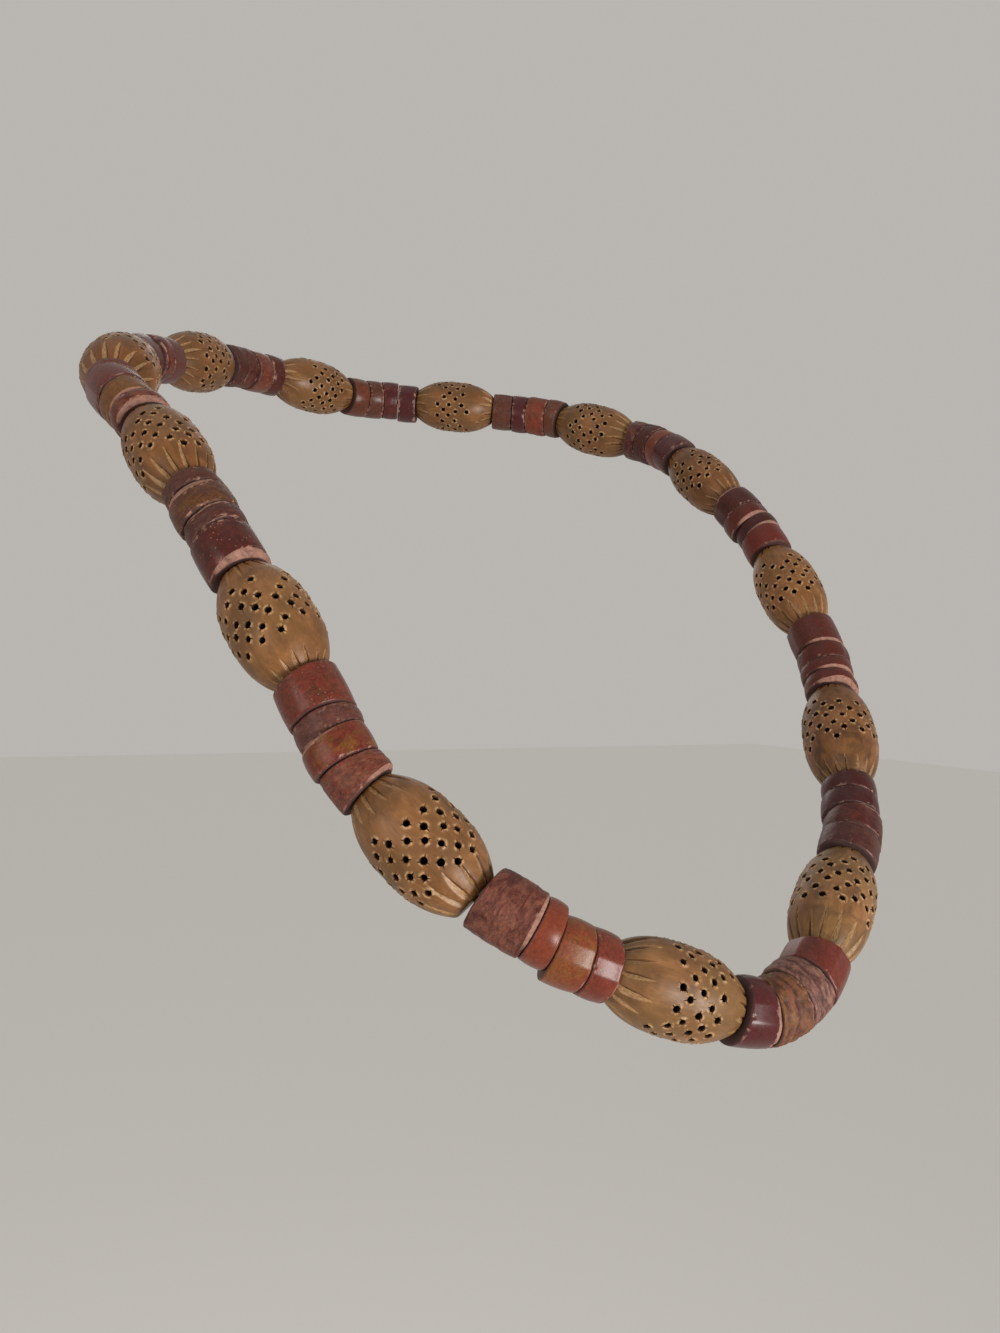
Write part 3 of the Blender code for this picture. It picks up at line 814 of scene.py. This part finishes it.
# One row for each disc, from one bead to the next: share of the stack's length, share of the diameter,
# base and cloud tones, clouds, dullness, flecks, chips, shift (outward, sideways) in mm, with a second
# pair where the far face is shifted differently, and the lean of its far face (outward, sideways) in degrees
discRows = {
    1: [(0.95, 1.00, "purple", "oxblood", 0.4, 0.0, 0.1, 0.5, (0.2, 0.0), (-2, 3)),
        (0.95, 0.98, "mottled", "ochre", 0.65, 0.9, 0.5, 0.5, (0.3, 0.0), (-2, -7)),
        (1.05, 1.02, "mauve", "pink", 0.6, 0.85, 0.6, 0.6, (-0.2, 0.3), (3, 2)),
        (1.05, 1.00, "brick", "oxblood", 0.4, 0.1, 0.1, 0.3, (0.1, 0.0), (0, 0))],
    2: [(1.10, 1.00, "mauve", "purple", 0.6, 0.4, 0.3, 0.5, (0.0, 0.0), (2, 3)),
        (0.95, 1.03, "purple", "orange", 0.6, 0.3, 0.2, 0.5, (0.5, 0.2), (-3, -4)),
        (0.90, 1.00, "purple", "oxblood", 0.5, 0.2, 0.2, 0.5, (-0.2, 0.0), (2, 2)),
        (0.80, 0.98, "oxblood", "purple", 0.3, 0.1, 0.1, 0.5, (0.0, 0.0), (0, 0))],
    3: [(0.65, 1.02, "brick", "brown", 0.4, 0.3, 0.2, 0.5, (0.2, 0.0), (3, -3)),
        (0.75, 1.00, "brick", "mauve", 0.4, 0.3, 0.2, 0.5, (-0.2, -0.2), (-2, 3)),
        (0.80, 1.02, "brick", "oxblood", 0.4, 0.3, 0.2, 0.5, (0.3, 0.2), (3, 2)),
        (1.45, 1.00, "brick", "mauve", 0.6, 0.2, 0.2, 0.3, (0.0, 0.0), (0, 0))],
    4: [(1.15, 1.00, "bright", "brick", 0.3, 0.2, 0.1, 0.3, (0.0, 0.0), (2, -3)),
        (0.80, 0.98, "oxblood", "purple", 0.4, 0.2, 0.2, 0.5, (0.4, 0.0), (-3, 2)),
        (0.80, 1.02, "brick", "oxblood", 0.4, 0.2, 0.2, 0.5, (-0.3, 0.2), (2, 3)),
        (1.15, 1.00, "oxblood", "brick", 0.4, 0.2, 0.2, 0.5, (0.2, 0.0), (0, 0))],
    10: [(0.75, 0.99, "bright", "brick", 0.6, 0.4, 0.3, 0.8, (0.0, 0.0), (3, 0)),
         (1.25, 1.00, "bright", "oxblood", 0.5, 0.0, 0.2, 0.5, (0.1, 0.0), (-3, 2)),
         (1.05, 0.98, "golden", "ochre", 0.7, 0.4, 0.4, 0.5, (0.0, 0.2), (3, -2)),
         (0.70, 1.00, "brick", "pink", 0.5, 0.3, 0.2, 0.8, (0.1, 0.0), (0, 0))],
    11: [(0.65, 1.00, "brown", "mauve", 0.8, 0.5, 0.4, 0.6, (0.0, 0.0), (4, 3)),
         (0.95, 1.03, "brown", "ochre", 0.7, 0.4, 0.5, 0.8, (0.2, 0.0), (-4, -2)),
         (0.80, 1.00, "mauve", "oxblood", 0.7, 0.5, 0.7, 0.7, (0.0, -0.2), (3, 2)),
         (1.50, 1.02, "oxblood", "brick", 0.6, 0.1, 0.6, 0.8, (0.2, 0.0), (0, 0))],
    12: [(1.40, 1.02, "brick", "brown", 0.7, 0.1, 0.5, 0.6, (0.0, 0.0), (5, 2)),
         (0.65, 1.00, "mauve", "brown", 0.8, 0.4, 0.4, 0.6, (-0.3, 0.2), (-4, 3)),
         (0.90, 1.03, "brick", "ochre", 0.6, 0.1, 0.2, 0.5, (0.4, 0.0), (2, -4)),
         (0.95, 1.00, "mottled", "brick", 0.9, 0.6, 0.4, 0.5, (0.0, 0.0), (0, 0))],
    13: [(1.54, 0.98, "mottled", "oxblood", 0.9, 0.5, 0.2, 0.3, (-0.3, -1.6, -0.3, -2.9), (2, 0)),
         (0.72, 0.94, "orange", "brick", 0.4, 0.0, 0.0, 0.3, (-0.3, -2.8, -0.3, -2.5), (3, 2)),
         (0.95, 0.94, "orange", "ochre", 0.5, 0.08, 0.2, 0.3, (0.2, -0.9, 0.2, -0.9), (-2, 0)),
         (0.86, 0.93, "brick", "orange", 0.5, 0.12, 0.4, 0.4, (0.2, -0.7, 0.2, -0.3), (0, 0))],
}

# painted shade: a tint that darkens and warms the stacks at the sides and back, which lie in shade
paintedShadeByStack = {1: "#FFFFFF", 2: "#D6B9A4", 3: "#CCAE8E", 4: "#CEB28C", 10: "#CCA876", 11: "#DFC8AE",
            12: "#FFF6EA", 13: "#FFFFFF"}

# the lean of a stack's first face where it stands open against its bead
firstLeans = {13: (0, 10)}

# broad flats that a disc was rubbed down to: where, in degrees round from outward, and how deep a share
rubbedFlats = {(13, 3): (-50, 0.040), (13, 4): (-48, 0.035), (1, 1): (-58, 0.050), (12, 1): (-40, 0.015)}

# wide pale chamfers ground on part of an edge: where round it in degrees, and how wide in mm
nearChamfers = {(10, 1): (-40, 1.0), (11, 2): (-30, 1.3), (11, 3): (-40, 0.5), (3, 1): (-80, 0.9),
                (3, 2): (-80, 0.4), (3, 4): (-85, 0.4), (4, 2): (-95, 0.7), (4, 3): (-95, 0.6),
                (12, 3): (20, 0.4)}
farChamfers = {(10, 4): (-60, 0.9), (11, 4): (-80, 1.2), (1, 1): (-20, 0.7), (4, 4): (-95, 0.8),
               (12, 4): (-120, 0.5), (13, 1): (-60, 0.35), (2, 2): (-60, 0.3), (10, 3): (-40, 0.5)}


def unseenRows(number, chances):
    # the stacks behind the neck get a mix of the same discs
    names = ["brick", "orange", "mottled", "mauve", "purple", "oxblood", "brown", "ochre"]
    shares = {5: (1.00, 0.90, 1.05, 0.95), 6: (0.85, 1.15, 0.90, 1.05), 7: (1.05, 0.90, 0.95, 1.05),
              8: (0.90, 1.10, 1.05, 0.90), 9: (1.00, 0.85, 1.10, 0.95)}[number]
    rows = []
    for place, share in enumerate(shares):
        dull = chances.choice((0.1, 0.25, 0.6))
        lean = (0, 0) if place == 3 else tuple(chances.uniform(-4, 4, 2))
        rows.append((share, chances.uniform(0.99, 1.03), chances.choice(names[:7]), chances.choice(names),
                     chances.uniform(0.3, 0.9), dull, chances.uniform(0.1, 0.5), chances.uniform(0.3, 0.9),
                     tuple(chances.uniform(-0.4, 0.4, 2)), lean))
    return rows


def bentLine(start, startWay, end, endWay):
    # the round bend that leaves one bead along its axis and meets the next along its own
    reach = (end - start).length / (3 * math.cos(startWay.angle(endWay) / 4) ** 2)
    points = interpolate_bezier(start, start + startWay * reach, end - endWay * reach, end, 60)
    steps = [0.0]
    for near, far in zip(points, points[1:]):
        steps.append(steps[-1] + (far - near).length)
    return points, steps


def lineAt(line, distance):
    points, steps = line
    distance = min(max(distance, 0.0), steps[-1])
    index = int(np.searchsorted(steps, distance, side="right")) - 1
    index = min(index, len(points) - 2)
    share = (distance - steps[index]) / (steps[index + 1] - steps[index])
    way = (points[index + 1] - points[index]).normalized()
    return points[index].lerp(points[index + 1], share), way


def discOutline(radius, chances, around, rubbed):
    # a nearly round outline with a few flats from the grinding wheel
    turns = np.linspace(0, 2 * math.pi, around, endpoint=False)
    lumps = np.sin(2 * turns + chances.uniform(0, 6.3)) + 0.6 * np.sin(3 * turns + chances.uniform(0, 6.3))
    outline = radius * (1 + discValues["lump"] * lumps)
    flats = [(chances.uniform(0, 360), chances.uniform(0.015, 0.045)) for _ in range(chances.integers(1, 4))]
    for degrees, depth in [rubbed] if rubbed else flats:
        middle = math.radians(degrees)
        deep = radius * (1 - depth)
        facing = np.cos(turns - middle)
        flat = np.where(facing > 0.3, deep / np.maximum(facing, 0.3), np.inf)
        outline = np.minimum(outline, flat)
    return turns, outline


def discPoints(near, far, outline, turns, thickness, bore, worn):
    # rows round the disc, out over one face, across the edge, along the side and back to the bore
    bevel = min(discValues["bevelMm"] * mm, thickness / 4)
    outline = outline - discValues["crownMm"] * mm
    ends = []
    for degrees, width in worn:
        swell = np.clip(np.cos(turns - math.radians(degrees)), 0, 1) ** 1.5
        swell = swell * min(width * mm, 0.40 * thickness)
        wide, deep = bevel + swell, bevel + 0.55 * swell
        paler = np.clip(swell / (0.3 * mm), 0, 1)
        flat = outline - deep - bore
        # how far from the axis, how far in from the face, edge, sawn face, pale chamfer
        ends.append([(bore, 0.0, 0.0, 1.0, 0.0),
                     (bore + 0.55 * flat, 0.0, 0.0, 1.0, 0.0),
                     (bore + 0.85 * flat, 0.0, 0.0, 1.0, 0.0),
                     (outline - deep, 0.0, 0.6, 1.0, paler),
                     (outline - 0.35 * deep, 0.35 * wide, 1.0, 0.3, paler),
                     (outline, wide, 1.0, 0.0, paler),
                     (outline, wide + 0.07 * mm, 0.9, 0.0, 0.0)])
    first, last = ends[0][-1][1], thickness - ends[1][-1][1]
    count = max(4, round((thickness - 2 * bevel) / (0.36 * mm)))
    side = []
    for step in range(1, count):
        height = first + (last - first) * step / count
        close = np.minimum(height - first, last - height)
        bulge = discValues["crownMm"] * mm * (1 - (2 * step / count - 1) ** 2)
        side.append((outline + bulge, height, np.clip(0.9 - close / (0.9 * mm), 0, 1), 0.0, 0.0))
    back = [(away, thickness - height, *marks) for away, height, *marks in reversed(ends[1])]
    rows = [[np.broadcast_to(value, turns.shape) for value in row] for row in ends[0] + side + back]
    away, height, edge, face, pale = np.array(rows).transpose(1, 0, 2)
    spots = np.stack([away * np.cos(turns), away * np.sin(turns), 0 * away, 0 * away + 1], axis=-1)
    lower, upper = spots @ np.array(near).T, spots @ np.array(far).T
    points = lower + (upper - lower) * (height / thickness)[..., None]
    return len(rows), points[..., :3].reshape(-1, 3), edge.ravel(), face.ravel(), pale.ravel()


def wearTree():
    tree = bpy.data.node_groups.new("chipAndDentStone", "GeometryNodeTree")
    add, given = addInputs(tree, [("Chip Size", "Float"), ("Chip Depth", "Float"), ("Dent Size", "Float"),
                                  ("Dent Depth", "Float"), ("Material", "Material")])
    place, finish, rim, chips, sawn = [
        add("GeometryNodeInputNamedAttribute", {"Name": name}, data_type=kind)
        for name, kind in (("stonePlace", "FLOAT_VECTOR"), ("finish", "FLOAT_VECTOR"), ("rim", "FLOAT"),
                           ("chips", "FLOAT"), ("sawnFace", "FLOAT"))]
    dull = add("ShaderNodeSeparateXYZ", (finish,)).outputs[1]

    # chips bite where the noise is high, more of them on a worn disc, and only at its edges
    chipScale = add("ShaderNodeMath", (1.0, given["Chip Size"]), operation="DIVIDE")
    chipNoise = add("ShaderNodeTexNoise", {
        "Vector": place, "Scale": chipScale, "Detail": 3.0, "Roughness": 0.65})
    limit = add("ShaderNodeMath", (chips, -0.20, 0.66), operation="MULTIPLY_ADD")
    bite = add("ShaderNodeMath", (chipNoise, limit), operation="SUBTRACT")
    bite = add("ShaderNodeMath", (bite, 7.0), operation="MULTIPLY", use_clamp=True)
    bite = add("ShaderNodeMath", (bite, rim), operation="MULTIPLY")

    # dents: deep on a dull disc, hardly there on a polished one
    dentScale = add("ShaderNodeMath", (1.0, given["Dent Size"]), operation="DIVIDE")
    dentNoise = add("ShaderNodeTexNoise", {
        "Vector": place, "Scale": dentScale, "Detail": 4.0, "Roughness": 0.6})
    dent = add("ShaderNodeMapRange", (dentNoise, 0.42, 0.68, 0.0, 1.0))
    worn = add("ShaderNodeMath", (dull, 1.6), operation="POWER")
    worn = add("ShaderNodeMath", (worn, 1.2, 0.06), operation="MULTIPLY_ADD")
    dent = add("ShaderNodeMath", (dent, worn), operation="MULTIPLY")
    dentDepth = add("ShaderNodeMath", (dent, given["Dent Depth"]), operation="MULTIPLY")
    inward = add("ShaderNodeMath", (bite, given["Chip Depth"], dentDepth), operation="MULTIPLY_ADD")
    inside = add("ShaderNodeMath", (sawn, 0.85, -1.0), operation="MULTIPLY_ADD")
    inward = add("ShaderNodeMath", (inward, inside), operation="MULTIPLY")
    normal = add("GeometryNodeInputNormal")
    offset = add("ShaderNodeVectorMath", {0: normal, "Scale": inward}, operation="SCALE")
    marked = given["Geometry"]
    for name, value in (("chipped", bite), ("dented", dent)):
        marked = add("GeometryNodeStoreNamedAttribute", {"Geometry": marked, "Name": name, "Value": value})
    moved = add("GeometryNodeSetPosition", {"Geometry": marked, "Offset": offset})
    real = add("GeometryNodeRealizeInstances", {"Geometry": moved})
    finished = add("GeometryNodeSetMaterial", {"Geometry": real, "Material": given["Material"]})
    add("NodeGroupOutput", (finished,))
    return tree


def stackMesh(number):
    # four discs strung along the bend between two beads, with the marks that the stone and its wear go by
    around = discValues["pointsAround"]
    joint = discValues["jointMm"] * mm
    chances = np.random.default_rng(100 + number)
    rows = discRows.get(number) or unseenRows(number, chances)
    start, end, _ = beads[number - 1]
    nextStart, nextEnd, _ = beads[number % beadCount]
    way, nextWay = (end - start).normalized(), (nextEnd - nextStart).normalized()
    line = bentLine(end, way, nextStart, nextWay)
    lean = firstLeans.get(number)
    # each stack's tones are multiplied by its painted shade
    stackShadeTint = np.array(colorFromHex(paintedShadeByStack.get(number, "#EEE6DC")))
    total = line[1][-1] - 5 * joint
    at = joint
    points, faces, marks = [], [], {}
    for place, (share, wide, base, cloud, clouds, dull, flecks, chips, shift, farLean) in enumerate(rows):
        thickness = total * share / sum(row[0] for row in rows)
        ends = []
        for distance, tip, slide in ((at, lean, shift[:2]), (at + thickness, farLean, shift[-2:])):
            spot, own = lineAt(line, distance)
            own = way if place == 0 and not ends else own
            own = nextWay if place == 3 and ends else own
            frameHere = placeAlong(spot, own)
            if tip:
                outwards, sideways = map(math.radians, tip)
                frameHere @= Matrix.Rotation(outwards, 4, "Y") @ Matrix.Rotation(sideways, 4, "X")
            ends.append(frameHere @ Matrix.Translation((slide[0] * mm, slide[1] * mm, 0)))
        lean = farLean
        at += thickness + joint
        key = (number, place + 1)
        radius = discValues["diameterMm"] * mm / 2 * wide
        turns, outline = discOutline(radius, chances, around, rubbedFlats.get(key))
        worn = (nearChamfers.get(key, (0, 0)), farChamfers.get(key, (0, 0)))
        room = max(math.hypot(*shift[:2]), math.hypot(*shift[-2:])) + discValues["threadRoomMm"]
        bore = max(discValues["boreMm"] / 2, room) * mm
        count, made, edge, face, pale = discPoints(*ends, outline, turns, thickness, bore, worn)
        faces += ringFaces(count, around, sum(len(part) for part in points))
        points.append(made)
        back = np.array(ends[0].inverted())
        # the dull discs come from layered stone, so their pattern is squeezed along the string
        local = (made @ back[:3, :3].T + back[:3, 3]) * (1, 1, 1 + 2.2 * dull) + chances.uniform(-1, 1, 3)
        for name, value in (("rim", edge), ("sawnFace", face), ("paleEdge", pale),
                            ("chips", np.full(len(made), chips)),
                            ("finish", [(clouds, dull, flecks)] * len(made)), ("stonePlace", local),
                            ("baseTone", [colorFromHex(stoneTones[base]) * stackShadeTint] * len(made)),
                            ("cloudTone", [colorFromHex(stoneTones[cloud]) * stackShadeTint] * len(made))):
            marks.setdefault(name, []).append(value)
    mesh = bpy.data.meshes.new("discs")
    mesh.from_pydata(np.concatenate(points), [], faces)
    for name, values in marks.items():
        values = np.concatenate(values).astype(np.float32)
        kind, field = {1: ("FLOAT", "value"), 3: ("FLOAT_VECTOR", "vector"), 4: ("FLOAT_COLOR", "color")}[
            1 if values.ndim == 1 else values.shape[1]]
        mesh.attributes.new(name, kind, "POINT").data.foreach_set(field, values.ravel())
    bm = bmesh.new()
    bm.from_mesh(mesh)
    bmesh.ops.recalc_face_normals(bm, faces=bm.faces)
    bm.to_mesh(mesh)
    bm.free()
    return mesh


def makeStacks():
    tree = wearTree()
    for number in range(1, beadCount + 1):
        made = addObject(f"stoneDiscs_{number:02}", stackMesh(number))
        mesh = plainMesh(made, tree, {
            "Chip Size": discValues["chipSizeMm"] * mm, "Chip Depth": discValues["chipDepthMm"] * mm,
            "Dent Size": discValues["dentSizeMm"] * mm, "Dent Depth": discValues["dentDepthMm"] * mm,
            "Material": stoneMaterial}, made.name)
        mesh.shade_smooth()
        mesh.set_sharp_from_angle(angle=math.radians(discValues["creaseDegrees"]))
        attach(made, "root")
        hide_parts(f"disc_stack_{number:02}")


makeStacks()
print("stage: stone discs ground and chipped")


# Thread: cotton, twisted from two plies and drawn through wax; it shows only as a dark soft line in the gaps

threadValues = {"color": "#3A2418", "strand": "#6A4A34", "plyMm": 0.9}


def makeThread():
    material, add = newMaterial("waxedTwistedCotton")
    place = add("ShaderNodeTexCoord").outputs["Object"]
    turn = 2 * math.pi * threadValues["plyMm"] * mm
    twist = add("ShaderNodeTexWave", {"Vector": place, "Scale": 1 / turn, "Distortion": 1.0},
                bands_direction="DIAGONAL")
    color = add("ShaderNodeMix", {0: twist.outputs["Fac"], 6: colorFromHex(threadValues["color"]),
                                  7: colorFromHex(threadValues["strand"])}, data_type="RGBA")
    bump = add("ShaderNodeBump", {"Strength": 0.6, "Distance": 0.15 * mm, "Height": twist.outputs["Fac"]})
    shader = add("ShaderNodeBsdfPrincipled", {
        "Base Color": color.outputs[2], "Roughness": 0.7, "Normal": bump})
    add("ShaderNodeOutputMaterial", {"Surface": shader})
    for slot in frame["nodes"]["thread"].material_slots:
        slot.material = material


makeThread()
print("stage: thread waxed")
